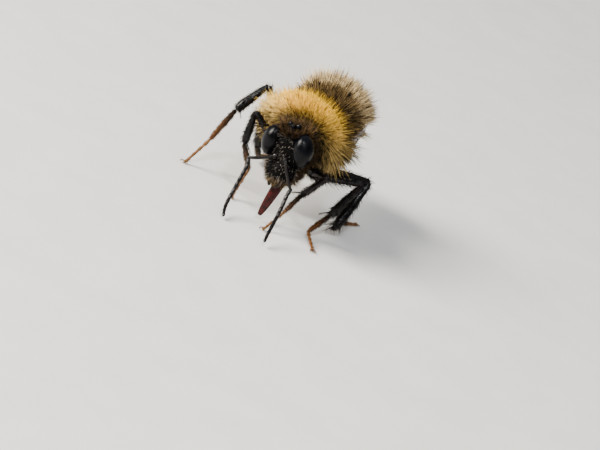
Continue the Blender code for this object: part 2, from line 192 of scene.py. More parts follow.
# The abdomen's rings from front to back: colour, colour of the rear fringe, length, share of black hairs.
RING_COATS = (
    (TAWNY, TAWNY, 0.75, 0.6),
    (UMBER, CREAM, 0.75, 0.55),
    (CREAM, CREAM, 1.15, 0.34),
    (CREAM, CREAM, 1.15, 0.24),
    (BUFF, BUFF, 0.85, 0.16),
    (BUFF, BUFF, 0.6, 0.1),
)
# The hair on each kind of leg piece: count, length, how far it leans along the leg, colour.
LEG_HAIR = {
    "coxa": (160, 0.45, 0.6, STRAW),
    "femur": (380, 0.34, 1.1, BLACK),
    "tibia": (440, 0.22, 1.3, BLACK),
    "basitarsus": (340, 0.15, 1.3, UMBER),
    "tarsus": (220, 0.11, 1.3, TAWNY),
}


# ---- the frame

def middle(node):
    """Middle of a CAD node's box, in millimetres."""
    low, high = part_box(node)
    return (low + high) / (2 * MM)


def centre_line(node, stations, near):
    """Middles of a long CAD solid's sections, ordered from the end nearest a place."""
    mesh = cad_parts[node].data
    points = np.array([vertex.co for vertex in mesh.vertices]) / MM
    edges = np.array([tuple(edge.vertices) for edge in mesh.edges])
    run = np.linalg.svd(points - points.mean(axis=0), full_matrices=False)[2][0]
    along = points @ run
    first, second = along[edges[:, 0]], along[edges[:, 1]]
    inset = 0.04
    line = []
    for share in np.linspace(inset, 1 - inset, stations):
        station = along.min() + np.ptp(along) * share
        cut = (first - station) * (second - station) < 0
        blend = ((station - first[cut]) / (second[cut] - first[cut]))[:, None]
        section = points[edges[cut, 0]] * (1 - blend) + points[edges[cut, 1]] * blend
        line.append(section.mean(axis=0))
    line = np.array(line)
    reach = inset / (1 - 2 * inset) * (stations - 1)
    line[0], line[-1] = line[0] + (line[0] - line[1]) * reach, line[-1] + (line[-1] - line[-2]) * reach
    if np.linalg.norm(line[-1] - near) < np.linalg.norm(line[0] - near):
        line = line[::-1]
    return [Vector(point) for point in line]


def head_place():
    """The head's own axes, set in the frame by the middle of its eyes."""
    turn = (Matrix.Rotation(HEAD_YAW, 4, "Z") @ Matrix.Rotation(HEAD_ROLL, 4, "Y")
            @ Matrix.Rotation(HEAD_NOD, 4, "X"))
    centre = (middle("eye_left") + middle("eye_right")) / 2 - turn @ EYES_FROM_HEAD
    return Matrix.Translation(centre) @ turn


def corners_of(node):
    """Low and high corner of a CAD node's box, in millimetres."""
    return [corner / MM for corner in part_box(node)]


def thorax_middle():
    low, high = corners_of("thorax")
    return Vector(((low.x + high.x) / 2, low.y + THORAX_REACH, high.z - THORAX_RISE))


HEAD = head_place()
THORAX = thorax_middle()
ABDOMEN_NODES = [f"abdomen_{number}" for number in range(1, 7)]
RINGS = [corners_of(node) for node in ABDOMEN_NODES]
RING_MIDDLES = np.array([(low + high) / 2 for low, high in RINGS])
ABDOMEN_FRONT, ABDOMEN_REAR = RINGS[0][0].y, RINGS[-1][1].y


# ---- modelling

def pick(*pieces):
    """Selects these pieces and nothing else, with the first of them active."""
    bpy.ops.object.select_all(action="DESELECT")
    for piece in pieces:
        piece.select_set(True)
    if pieces:
        bpy.context.view_layer.objects.active = pieces[0]


def mode(name):
    bpy.ops.object.mode_set(mode=name)


def mirrored(place, sign):
    """A place on the bee's left, or its mirror image on the right."""
    return Vector((place[0] * sign, place[1], place[2]))


def set_up(name, data):
    """A new object in the scene that holds a mesh, a lamp or a camera."""
    holder = bpy.data.objects.new(name, data)
    bpy.context.scene.collection.objects.link(holder)
    return holder


def ball(centre, radii, place=Matrix.Identity(4), segments=32, rings=20):
    """An oval form at its place, ready to be shaped further."""
    pick()
    bpy.ops.mesh.primitive_uv_sphere_add(
        segments=segments, ring_count=rings, radius=1,
        location=place @ Vector(centre), rotation=place.to_euler(), scale=radii)
    bpy.ops.object.transform_apply(location=True, rotation=True, scale=True)
    return bpy.context.object


def squeeze(piece, way, scale, centre=Vector((0, 0, 0)), beyond=1e-4):
    """Scales, about a centre, the vertices that lie beyond it in one direction."""
    mode("EDIT")
    bpy.ops.mesh.select_mode(type="VERT")
    bpy.ops.mesh.select_all(action="DESELECT")
    mode("OBJECT")
    for vertex in piece.data.vertices:
        vertex.select = (vertex.co - centre).dot(way) > beyond
    mode("EDIT")
    bpy.ops.transform.resize(value=scale, center_override=centre)
    mode("OBJECT")
    return piece


def turn_selection(before, after, centre):
    """Turns what is selected as one direction turns to another; with no window, rotate runs backwards."""
    axis = before.cross(after)
    if axis.length < 1e-6:
        return
    pole = axis.normalized()
    side = pole.orthogonal().normalized()
    axes = Matrix((side, pole.cross(side), pole)).transposed()
    bpy.ops.transform.rotate(value=-before.angle(after), orient_axis="Z", orient_matrix=axes,
                             center_override=centre)


def limb(path, widths, sides=12, flat=1, broad=Vector((1, 0, 0))):
    """A tube drawn out ring by ring along a path; flat is its thickness as a share of its breadth."""
    last = len(path) - 1
    runs = [(path[min(i + 1, last)] - path[max(i - 1, 0)]).normalized() for i in range(last + 1)]
    across = (broad - runs[0] * runs[0].dot(broad)).normalized()
    axes = Matrix((across, runs[0].cross(across), runs[0])).transposed()
    pick()
    bpy.ops.mesh.primitive_circle_add(
        vertices=sides, radius=widths[0], fill_type="NGON", location=path[0], rotation=axes.to_euler())
    bpy.context.object.scale = (1, flat, 1)
    bpy.ops.object.transform_apply(location=True, rotation=True, scale=True)
    mode("EDIT")
    bpy.ops.mesh.select_all(action="SELECT")
    for i in range(1, last + 1):
        bpy.ops.mesh.extrude_region_move(TRANSFORM_OT_translate={"value": path[i] - path[i - 1]})
        grow = widths[i] / widths[i - 1]
        bpy.ops.transform.resize(value=(grow, grow, grow), center_override=path[i])
        turn_selection(runs[i - 1], runs[i], path[i])
    bpy.ops.mesh.select_all(action="SELECT")
    bpy.ops.mesh.normals_make_consistent(inside=False)
    mode("OBJECT")
    return bpy.context.object


def follow(path, share):
    """A place at a share of a path's length."""
    lengths = [(b - a).length for a, b in zip(path, path[1:])]
    left = share * sum(lengths)
    for start, end, length in zip(path, path[1:], lengths):
        if left <= length:
            return start.lerp(end, left / length)
        left -= length
    return path[-1]


def shaped_limb(path, profile, stout=1, **form):
    """A limb whose half-width follows a profile along its path."""
    stops = [follow(path, share) for share, _ in profile]
    return limb(stops, [half * stout for _, half in profile], **form)


def join(pieces):
    pick(*pieces)
    bpy.ops.object.join()
    return pieces[0]


def modify(piece, kind, **settings):
    """Adds a modifier and applies it."""
    modifier = piece.modifiers.new(kind.title(), kind)
    for name, value in settings.items():
        setattr(modifier, name, value)
    pick(piece)
    bpy.ops.object.modifier_apply(modifier=modifier.name)
    return piece


def smooth_out(piece):
    return modify(piece, "SUBSURF", levels=1, render_levels=1)


def finish_piece(piece, name, material, slot, *nodes):
    """Brings a piece to metres, names it, gives it its material, hangs it on the root and hides the CAD
    parts it stands for.
    """
    piece.data.transform(Matrix.Scale(MM, 4))
    piece.name = piece.data.name = name
    piece.data.materials.clear()
    piece.data.materials.append(material)
    pick(piece)
    bpy.ops.object.shade_smooth()
    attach(piece, "root")
    if nodes:
        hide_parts(*nodes)
    return piece


# ---- materials

class Finish:
    """A material, with short ways to add the nodes that feed its shader."""

    def __init__(self, name, roughness, specular, alpha=1):
        self.material = bpy.data.materials.new(name)
        self.material.use_nodes = True
        self.tree = self.material.node_tree
        self.shader = self.tree.nodes["Principled BSDF"]
        for socket, value in (("Roughness", roughness), ("Specular IOR Level", specular), ("Alpha", alpha)):
            self.shader.inputs[socket].default_value = value

    def add(self, kind, **settings):
        node = self.tree.nodes.new(kind)
        for name, value in settings.items():
            setattr(node, name, value)
        return node

    def link(self, output, socket):
        self.tree.links.new(output, socket)

    def feed(self, output, name):
        self.link(output, self.shader.inputs[name])

    def pattern(self, kind, output, size):
        """A texture in the piece's own place, whose features are about size millimetres across."""
        texture = self.add(kind)
        texture.inputs["Scale"].default_value = 1 / (size * MM)
        self.link(self.add("ShaderNodeTexCoord").outputs["Object"], texture.inputs["Vector"])
        return texture.outputs[output]

    def grain(self, size, detail=3.0):
        """Soft random variation."""
        fac = self.pattern("ShaderNodeTexNoise", "Fac", size)
        fac.node.inputs["Detail"].default_value = detail
        return fac

    def cells(self, size):
        """Close-set pits or facets."""
        return self.pattern("ShaderNodeTexVoronoi", "Distance", size)

    def mottle(self, size, dark, light):
        """Soft patches of two colours."""
        ramp = self.add("ShaderNodeValToRGB")
        for stop, place, colour in zip(ramp.color_ramp.elements, (0.35, 0.65), (dark, light)):
            stop.position = place
            stop.color = (*colour, 1)
        self.link(self.grain(size), ramp.inputs["Fac"])
        return ramp.outputs["Color"]

    def colour(self, size, dark, light):
        self.feed(self.mottle(size, dark, light), "Base Color")

    def tint(self, size, dark):
        """The colour painted on the piece, darkened in patches."""
        mix = self.add("ShaderNodeMix", data_type="RGBA", blend_type="MULTIPLY")
        mix.inputs["Factor"].default_value = 1
        painted = self.add("ShaderNodeAttribute", attribute_name="tint")
        self.link(painted.outputs["Color"], mix.inputs["A"])
        self.link(self.mottle(size, (dark,) * 3, (1,) * 3), mix.inputs["B"])
        self.feed(mix.outputs["Result"], "Base Color")

    def rough(self, size, low, high):
        """A roughness that wanders between two values."""
        spread = self.add("ShaderNodeMapRange")
        spread.inputs["To Min"].default_value = low
        spread.inputs["To Max"].default_value = high
        self.link(self.grain(size), spread.inputs["Value"])
        self.feed(spread.outputs["Result"], "Roughness")

    def relief(self, height, depth):
        """Bumps of a depth in millimetres."""
        bump = self.add("ShaderNodeBump")
        bump.inputs["Strength"].default_value = 1
        bump.inputs["Distance"].default_value = depth * MM
        self.link(height, bump.inputs["Height"])
        self.feed(bump.outputs["Normal"], "Normal")

    def shell(self):
        """Fine pits, and a gloss that varies with wear; returns the finished material."""
        self.relief(self.cells(0.05), 0.006)
        self.rough(0.15, 0.15, 0.35)
        return self.material


def coat_finish():
    finish = Finish("coat", 0.55, 0.06)
    finish.tint(0.25, 0.88)
    return finish.material


def skin_finish():
    finish = Finish("skin", 0.3, 0.06)
    finish.tint(0.12, 0.55)
    finish.relief(finish.cells(0.08), 0.03)
    finish.rough(0.3, 0.1, 0.3)
    return finish.material


def shell_finish(name, dark, light):
    finish = Finish(name, 0.3, 0.25)
    finish.colour(0.35, dark, light)
    return finish.shell()


def foot_finish():
    finish = Finish("foot_shell", 0.3, 0.16)
    finish.tint(0.15, 0.6)
    return finish.shell()


def eye_finish():
    """Near black, with fine facets on a faint swell."""
    finish = Finish("eye", 0.2, 0.12)
    finish.colour(0.6, shade(3, 3, 4), shade(10, 11, 15))
    facets = finish.add("ShaderNodeMath", operation="ADD")
    finish.link(finish.cells(0.03), facets.inputs[0])
    finish.link(finish.grain(0.22, 1), facets.inputs[1])
    finish.relief(facets.outputs["Value"], 0.004)
    return finish.material


def membrane_finish():
    finish = Finish("wing_membrane", 0.22, 0.25, alpha=0.27)
    finish.colour(0.5, shade(90, 60, 32), shade(126, 92, 54))
    finish.relief(finish.grain(0.18), 0.02)
    return finish.material


# ---- head

def head_capsule():
    """The head's skin: a domed crown, a brow between the eyes, broad cheeks and a swollen clypeus."""
    return [ball(HEAD_AT, HEAD_RADII, HEAD, segments=48, rings=32),
            ball(CLYPEUS_AT, CLYPEUS_RADII, HEAD), ball(BROW_AT, BROW_RADII, HEAD),
            *(ball(mirrored(CHEEK_AT, sign), CHEEK_RADII, HEAD) for _, sign in SIDES)]


def make_eyes(material):
    """Long ovals, fuller above than below and flatter towards the face."""
    for side, sign in SIDES:
        lean = Matrix.Rotation(-EYE_TILT * sign, 4, "Y") @ Matrix.Rotation(-EYE_RAKE, 4, "X")
        eye = ball((0, 0, 0), EYE_RADII, segments=64, rings=48)
        for vertex in eye.data.vertices:
            height = vertex.co.z / EYE_RADII.z
            fullness = 1 + EYE_TOP * height - EYE_ENDS * height * height
            vertex.co.x *= fullness * (EYE_INNER if vertex.co.x * sign < 0 else 1)
            vertex.co.y *= fullness
        eye.data.transform(HEAD @ Matrix.Translation(mirrored(EYE_AT, sign)) @ lean)
        finish_piece(eye, f"eye_lens_{side}", material, "eye", f"eye_{side}")


def make_ocelli(material):
    domes = []
    for place in OCELLI:
        dome = ball((0, 0, 0), (OCELLUS_RADIUS,) * 3, segments=20, rings=14)
        squeeze(dome, -UP, (1.2, 1.2, 0.4))
        dome.data.transform(HEAD @ Matrix.Translation(place) @ Matrix.Rotation(OCELLI_LEAN, 4, "X"))
        domes.append(dome)
    finish_piece(join(domes), "ocelli", material, "eye")


def make_lip(material):
    lip = ball((0, 0, 0), LIP_RADII, segments=20, rings=12)
    squeeze(lip, -UP, (0.75, 0.8, 1.2))
    squeeze(lip, UP, (1.15, 1, 0.7), beyond=LIP_RADII.z / 2)
    lip.data.transform(HEAD @ Matrix.Translation(LIP_AT))
    finish_piece(smooth_out(lip), "lip", material, "shell")


def make_jaws(material):
    for side, sign in SIDES:
        line = centre_line(f"mandible_{side}", 4, HEAD.translation)
        across = HEAD.to_3x3() @ Vector((sign, 0, 0))
        line = [point - across * JAW_BOW * (i / (len(line) - 1)) ** 1.5 for i, point in enumerate(line)]
        jaw = shaped_limb(line, JAW, flat=0.6, broad=across, sides=14)
        finish_piece(smooth_out(jaw), f"jaw_{side}", material, "mouthparts", f"mandible_{side}")


def make_tongue(sheath_shell, tongue_shell):
    """Two long sheath halves folded round the tongue, whose tip shows between them."""
    line = centre_line("proboscis", 6, HEAD.translation)
    run = (line[-1] - line[0]).normalized()
    across = SHEATH_SIDE.cross(run).cross(run).normalized()
    halves = []
    for sign in (1, -1):
        beside = across * SHEATH_PART * sign
        path = [point + beside * (1 - 0.5 * i / len(line)) for i, point in enumerate(line)]
        halves.append(shaped_limb(path, SHEATH, flat=0.55, broad=across))
    sheath = smooth_out(join(halves))
    finish_piece(sheath, "tongue_sheath", sheath_shell, "mouthparts", "proboscis")
    tongue = smooth_out(shaped_limb(line, TONGUE, sides=10))
    finish_piece(tongue, "tongue", tongue_shell, "mouthparts")


def make_feelers(material):
    for side, sign in SIDES:
        scape_line = centre_line(f"antenna_{side}_scape", 5, HEAD.translation)
        scape_line[0] = HEAD @ mirrored(SOCKET_AT, sign)
        root = ball(scape_line[0], (SOCKET_RADIUS,) * 3, segments=20, rings=12)
        scape = smooth_out(shaped_limb(scape_line, SCAPE))
        finish_piece(join([scape, root]), f"scape_{side}", material, "shell", f"antenna_{side}_scape")
        line = centre_line(f"antenna_{side}_flagellum", 12, scape_line[-1])
        stops, widths = [], []
        for number in range(FLAGELLOMERES):
            taper = 1 - (1 - FLAGELLUM_TIP) * (number / FLAGELLOMERES) ** 3
            for share, swell in FLAGELLOMERE:
                stops.append(follow(line, (number + share) / FLAGELLOMERES))
                widths.append(FLAGELLUM_RADIUS * swell * taper)
        widths[-1] *= 0.5
        elbow = ball(scape_line[-1].lerp(line[0], 0.5), (ELBOW_RADIUS,) * 3, segments=16, rings=10)
        flagellum = smooth_out(limb(stops, widths))
        finish_piece(join([flagellum, elbow]), f"flagellum_{side}", material, "shell",
                     f"antenna_{side}_flagellum")


# ---- trunk

def thorax_core():
    side, front, up, down = THORAX_SKIN
    core = ball(THORAX, (side, front, up), segments=48, rings=32)
    return squeeze(core, -UP, (1, 1, down / up), THORAX)


def abdomen_share(y):
    return (y - ABDOMEN_FRONT) / (ABDOMEN_REAR - ABDOMEN_FRONT)


def abdomen_skin(y):
    """Middle and half-breadth of the abdomen's skin at a place along it."""
    share = abdomen_share(y)
    widest = max((high.x - low.x) / 2 for low, high in RINGS) - ABDOMEN_COAT
    span = ABDOMEN_SPANS[share > ABDOMEN_WIDEST]
    closing = abs(share - ABDOMEN_WIDEST) / span
    return abdomen_axis(y), widest * math.sqrt(max(1 - closing ** ABDOMEN_FULLNESS, 0))


def abdomen_axis(y):
    x, z = (np.interp(y, RING_MIDDLES[:, 1], RING_MIDDLES[:, k]) for k in (0, 2))
    return Vector((x, y, z))


def abdomen_core():
    """Six ringed plates, each with a rear edge that stands a little over the next."""
    path, widths = [], []
    for number, (low, high) in enumerate(RINGS):
        last = number == len(RINGS) - 1
        rear = high.y - (ABDOMEN_COAT if last else 0)
        for share, step in ((0.03, -RING_STEP), (0.5, 0), (0.97, RING_STEP)):
            y = low.y + (rear - low.y) * share
            centre, half = abdomen_skin(y)
            path.append(centre)
            widths.append(max(half + step, RING_LEAST))
    tip, half = path[-1], widths[-1]
    for angle in TAIL_ARC:
        path.append(tip + REAR * TAIL_CAP * math.sin(angle))
        widths.append(half * math.cos(angle))
    return limb(path, widths, sides=40, flat=0.95)


def make_skin(material):
    """One skin over head, neck, thorax, waist and abdomen."""
    neck = limb([THORAX + NECK_REAR, HEAD @ NECK_FRONT], [NECK_RADIUS] * 2, sides=20)
    waist_rear = abdomen_axis(ABDOMEN_FRONT + WAIST_REACH)
    waist = limb([THORAX + WAIST_FRONT, waist_rear], [WAIST_RADIUS] * 2, sides=20)
    skin = join([thorax_core(), abdomen_core(), neck, waist, *head_capsule()])
    modify(skin, "REMESH", mode="VOXEL", voxel_size=SKIN_VOXEL)
    modify(skin, "SMOOTH", factor=0.5, iterations=6)
    return finish_piece(skin, "body_skin", material, "shell", "head", "thorax", *ABDOMEN_NODES)


# ---- wings

def wing_point(outline, side, share, breadth):
    """A place on a wing's sheet: share runs from root to tip, breadth from the top edge to the low one."""
    parts, tops, lows = zip(*outline)
    part = parts[0] + (parts[-1] - parts[0]) * share
    top, low = np.interp(part, parts, tops), np.interp(part, parts, lows)
    around = top + (low - top) * breadth
    y = WING_ROOT + (WING_TIP - WING_ROOT) * part
    along = max(abdomen_share(y) - WING_TUCK_START, 0)
    sine, cosine = math.sin(WING_ANGLE), math.cos(WING_ANGLE)
    out, down = Vector((sine * side, 0, cosine)), Vector((cosine * side, 0, -sine))
    ripple = RIPPLE * math.sin(share * 19 + breadth * 5) * math.sin(breadth * 9) * share
    reach = WING_RADIUS - WING_TUCK * along ** 1.6 - around * around / (2 * WING_CAMBER) + ripple
    return abdomen_axis(y) + out * reach + down * around


def wing_sheet(outline, side):
    """The membrane: a fine grid laid over the flank and given its thickness."""
    pick()
    bpy.ops.mesh.primitive_grid_add(x_subdivisions=60, y_subdivisions=20, size=1)
    sheet = bpy.context.object
    for vertex in sheet.data.vertices:
        vertex.co = wing_point(outline, side, vertex.co.x + 0.5, vertex.co.y + 0.5)
    modify(sheet, "SOLIDIFY", thickness=MEMBRANE, offset=0)
    mode("EDIT")
    bpy.ops.mesh.select_all(action="SELECT")
    bpy.ops.mesh.normals_make_consistent(inside=False)
    mode("OBJECT")
    return sheet


def wing_veins(outline, veins, side):
    tubes = []
    for vein in veins:
        steps = np.linspace(0, len(vein) - 1, 9)
        along, breadth = (np.interp(steps, range(len(vein)), column) for column in zip(*vein))
        path = [wing_point(outline, side, a, b) for a, b in zip(along, breadth)]
        widths = [VEIN * (1.25 - 0.5 * a) for a in along]
        tubes.append(limb(path, widths, sides=6))
    return join(tubes)


def make_wings(membrane, vein_shell):
    for side, sign in SIDES:
        for wing, outline, veins in (("forewing", FOREWING, FOREWING_VEINS),
                                     ("hindwing", HINDWING, HINDWING_VEINS)):
            sheet = wing_sheet(outline, sign)
            finish_piece(sheet, f"{wing}_membrane_{side}", membrane, "wing", f"{wing}_{side}")
            ribs = wing_veins(outline, veins, sign)
            finish_piece(ribs, f"{wing}_veins_{side}", vein_shell, "wing")
        hinge = wing_point(FOREWING, sign, 0, 0.5) + UP * 0.12
        cap = ball(hinge, WING_CAP_RADII)
        squeeze(cap, REAR, (0.8, 1.2, 0.75), hinge)
        squeeze(cap, -UP, (1, 1, 0.6), hinge)
        finish_piece(cap, f"wing_cap_{side}", vein_shell, "shell")


# ---- legs

def leg_joints(leg):
    """Hip, trochanter, knee, both ends of the basitarsus, and the foot."""
    lines, near = [], THORAX
    for piece in LEG_PIECES:
        line = centre_line(f"leg_{leg}_{piece}", 2, near)
        lines.append(line)
        near = line[-1]
    meets = [(before[-1] + after[0]) / 2 for before, after in zip(lines, lines[1:])]
    return [lines[0][0], *meets, lines[-1][-1]]


def make_spurs(start, end, inward, count):
    """Thin spines near the far end of a tibia, leaning to its inner side."""
    run = (end - start).normalized()
    spurs = []
    for number in range(count):
        root = end.lerp(start, 0.1 - 0.06 * number)
        tip = root + (run * (0.5 + 0.6 * number) + inward).normalized() * SPUR_LENGTH
        tip.z = max(tip.z, 2 * FLOOR_CLEARANCE)
        bow = root.lerp(tip, 0.5) - run * SPUR_BOW
        spurs.append(limb([root, bow, tip], SPUR_RADII, sides=6))
    return spurs


def make_foot(start, end, stout):
    """Four short foot pieces, a pad and two claws that reach the floor."""
    end = Vector((end.x, end.y, PAD_RADIUS + FLOOR_CLEARANCE))
    run = (end - start).normalized()
    parts = []
    for number in range(TARSOMERES):
        piece = [start.lerp(end, (number + k) / TARSOMERES) for k in (-0.08, 1.04)]
        parts.append(shaped_limb(piece, TARSOMERE, stout * (1.1 - 0.08 * number), sides=10))
    level = Vector((run.x, run.y, 0)).normalized()
    sideways = level.cross(UP)
    parts.append(ball(end + level * 0.05, (PAD_RADIUS,) * 3, segments=14, rings=10))
    for sign in (1, -1):
        path = [end + level * ahead + sideways * aside * sign + UP * up for ahead, aside, up in CLAW]
        path[-1].z = FLOOR_CLEARANCE
        parts.append(limb(path, CLAW_RADII, sides=8))
    return parts


def paint_foot(piece, heel):
    """Almost black where the foot leaves the shin, and orange-brown from the middle of its first piece."""
    points = np.array([vertex.co for vertex in piece.data.vertices])
    away = span(points - np.array(heel))
    paint(piece.data, dye(FOOT_DARK, FOOT_LIGHT, ease(away, 0.3, 2.2)))


def make_legs(shell, foot_shell):
    """All six legs, piece by piece; returns what the coat needs to know of each piece."""
    made = []
    for pair, stout in LEG_PAIRS.items():
        for side, sign in SIDES:
            leg = f"{pair}_{side}"
            joints = leg_joints(leg)
            for number, kind in enumerate(LEG_PIECES):
                start, end = joints[number], joints[number + 1]
                run = (end - start).normalized()
                broad = start - joints[number - 1] if number else Vector((0, 1, 0))
                if kind == "tarsus":
                    piece = smooth_out(join(make_foot(start, end, stout)))
                else:
                    flat, *profile = LEG_FORMS[kind]
                    piece = smooth_out(shaped_limb([start, end], profile, stout, flat=flat, broad=broad))
                if kind == "tibia":
                    spurs = make_spurs(start, end, Vector((-0.8 * sign, -0.6, 0)), SPURS[pair])
                    piece = join([piece, *spurs])
                material, slot = shell, "shell"
                if kind in ("basitarsus", "tarsus"):
                    material, slot = foot_shell, "foot"
                    paint_foot(piece, joints[LEG_PIECES.index("basitarsus")])
                finish_piece(piece, f"{leg}_{kind}", material, slot, f"leg_{leg}_{kind}")
                made.append((piece, kind, pair, side, start, run))
    return made


# ---- coat

def ease(value, low, high):
    """0 below low, 1 above high, and smooth between."""
    share = np.clip((value - low) / (high - low), 0, 1)
    return share * share * (3 - 2 * share)


def span(vectors):
    return np.linalg.norm(vectors, axis=1)


def unit(vectors):
    return vectors / np.maximum(span(vectors), 1e-9)[:, None]


def to_head(points):
    inside = np.array(HEAD.inverted())
    return points @ inside[:3, :3].T + inside[:3, 3]


def dye(base, colour, share):
    """Blends a share of a colour into another, or into each row of many."""
    return base * (1 - share[:, None]) + colour * share[:, None]


def body_zones(points):
    """Which of head, thorax and abdomen each place belongs to, as three masks."""
    local = to_head(points)
    head = (span(local / HEAD_ZONE) < 1) & (local[:, 1] < 0.85)
    abdomen = ~head & (points[:, 1] > ABDOMEN_FRONT - 0.1)
    return head, ~head & ~abdomen, abdomen


def ring_share(points):
    """How far along its own ring each place of the abdomen is, and the ring's number from 0."""
    fronts, rears = np.array([(low.y, high.y) for low, high in RINGS]).T
    number = np.clip(np.searchsorted(fronts, points[:, 1]) - 1, 0, len(RINGS) - 1)
    return np.clip((points[:, 1] - fronts[number]) / (rears - fronts)[number], 0, 1), number


def thorax_coat(normals, local):
    """A dense golden crown, long straw flanks over skin darkened with painted shade, a pale chest,
    a nape of dark hair deepened with painted shade, and a rump darkened with painted shade.
    """
    up, back = normals[:, 2], normals @ np.array(THORAX_BACK)
    crown = ease(up, -0.05, 0.55)
    chest = ease(-up, 0.2, 0.75)
    side = ease(np.abs(normals[:, 0]), 0.35, 0.8)
    # The rump is the thorax's rear top, over the gap to the abdomen; its hair is darkened with painted
    # shade.
    rump = ease(back, -0.5, 0) * crown
    # The nape is the hair round the head: partly dark hair, partly painted shade from the head.
    nape = 1 - ease(span(local), 2.1, 3.1)
    colour = dye(STRAW, GINGER, ease(up, 0, 0.95))
    colour = dye(colour, CREAM, chest)
    colour = dye(colour, UMBER, 0.6 * nape)
    # Painted shade: hair on the rear of the thorax, towards the abdomen, browned towards umber.
    colour = dye(colour, UMBER, 0.75 * ease(up, -0.4, 0.2) * ease(back, -0.38, 0.05))
    return {
        "colour": colour,
        "density": 0.8 + 0.25 * crown - 0.3 * chest - 0.3 * rump,
        "length": 1.55 - 0.6 * crown - 0.6 * chest - 0.58 * rump,
        "lie": np.column_stack((np.zeros(len(up)), 0.2 * crown, -0.3 * (1 - crown))),
        # The nape and rump terms add painted shade: more black hairs and darker roots.
        "black": 0.34 - 0.3 * crown + 0.45 * nape + 0.25 * rump,
        "root": 0.12 + 0.52 * crown * (1 - nape) * (1 - 0.6 * rump),
        "shag": 0.4 * side + 1.7 * rump,
        "guards": 0.3 - 0.05 * rump,
        "crown": crown * (1 - rump),
    }


def abdomen_coat(points, normals):
    """Dark in front, then pale rings whose hairs stand out, lower and buff to the tip."""
    chest = ease(-normals[:, 2], 0.2, 0.75)
    share, ring = ring_share(points)
    fringe = ease(share, 0.3, 0.8)
    tail = ease(points[:, 1], ABDOMEN_FRONT, ABDOMEN_REAR)
    bands, fringes, length, black = (np.array(column)[ring] for column in zip(*RING_COATS))
    return {
        "colour": dye(dye(bands, fringes, fringe), CREAM, chest * 0.8),
        "length": length + 0.15 * fringe - 0.3 * chest,
        "lie": (0.1 + 0.8 * tail)[:, None] * np.array((0, 1, 0)),
        "black": black * (1 - 0.5 * fringe),
        # Painted shade: very dark hair roots.
        "root": 0.06,
        "shag": 0.75 - 0.6 * tail,
        "guards": 0.3,
        "crown": 0,
    }


def head_coat(normals, local):
    """Rusty and black on the crown, short black on the face with grey hairs as painted glints,
    cheeks of dark hair deepened by painted shade, and a tan chin.
    """
    turn = np.array(HEAD.to_3x3())
    rearward = (normals @ turn)[:, 1]
    top = ease(local[:, 2], 0.8, 1.15)
    face = ease(-rearward, 0, 0.4) * (1 - top)
    # Hair behind the eyes: dark hair, with more black hairs added as painted shade from the head.
    behind = ease(rearward, 0, 0.5) * (1 - top)
    chin = ease(-local[:, 2], 1.3, 1.65)
    bare = 1 - ease(span(local - np.array(OCELLI).mean(axis=0)), 0.4, 0.85)
    colour = dye(UMBER, RUST, top)
    colour = dye(colour, TAWNY, chin)
    # Painted glints: a share of the face's short hairs is pale grey.
    colour = dye(colour, PAINTED_GLINT, face * (1 - top) * (1 - chin))
    length = 0.34 + 0.3 * top - 0.45 * top * bare + 0.4 * behind - 0.12 * face * (1 - chin) + 0.16 * chin
    lie = (turn @ np.array((0, -0.35, -0.5))) * face[:, None]
    return {
        "colour": colour,
        "density": 1.3 - 0.8 * face * (1 - chin) - 0.5 * chin,
        "length": length,
        "lie": lie + (turn @ np.array((0, -0.1, 0.3))) * top[:, None],
        "black": 0.6 * top + 0.9 * face * (1 - chin) + 0.5 * chin + 0.4 * behind,
        # Painted shade at the hair roots.
        "root": 0.4,
        "shag": 0.2 + 0.5 * top * (1 - bare),
        "guards": 0.3,
        "crown": 0,
    }


def coat_plan(points, normals):
    """What the coat is like at each place on the skin.

    density is relative, and length in millimetres; guards is the share of long hairs, and shag how
    much further they may stand out; lie is added to the way the skin faces; black is the share of
    black hairs; root is painted shade, how dark a hair is painted at the skin before it brightens to
    its tip; and crown is 1 where the coat is velvety.
    """
    local = to_head(points)
    head, _, abdomen = body_zones(points)
    plan = thorax_coat(normals, local)
    for zone, coat in ((abdomen, abdomen_coat(points, normals)), (head, head_coat(normals, local))):
        for name, value in coat.items():
            plan[name][zone] = np.broadcast_to(value, plan[name].shape)[zone]
    return SimpleNamespace(**plan)


def rows(parts, name, kind=float):
    """One property of all vertices or triangles, three numbers to a row."""
    values = np.empty(len(parts) * 3, dtype=kind)
    parts.foreach_get(name, values)
    return values.reshape(-1, 3)


def surface(piece):
    """A finished piece's vertices and normals in millimetres, and its triangles."""
    mesh = piece.data
    mesh.calc_loop_triangles()
    normals = rows(mesh.vertices, "normal")
    return rows(mesh.vertices, "co") / MM, normals, rows(mesh.loop_triangles, "vertices", np.int32)


def in_order(points, corners):
    """Triangles sorted by place, because the order that shaping leaves them in isn't always the same."""
    keys = points @ ASKEW
    corners = np.take_along_axis(corners, np.argsort(keys[corners], axis=1), axis=1)
    return corners[np.argsort(keys[corners].sum(axis=1))]


def scatter(points, normals, corners, weights, count, rng):
    """Random roots on a surface, with the way it faces there."""
    first, second, third = (points[corners[:, k]] for k in range(3))
    area = span(np.cross(second - first, third - first))
    chance = area * weights[corners].mean(axis=1)
    chosen = rng.choice(len(corners), count, p=chance / chance.sum())
    edge, spread = np.sqrt(rng.random(count)), rng.random(count)
    share = np.column_stack((1 - edge, edge * (1 - spread), edge * spread))[:, :, None]
    roots = (points[corners[chosen]] * share).sum(axis=1)
    return roots, unit((normals[corners[chosen]] * share).sum(axis=1))


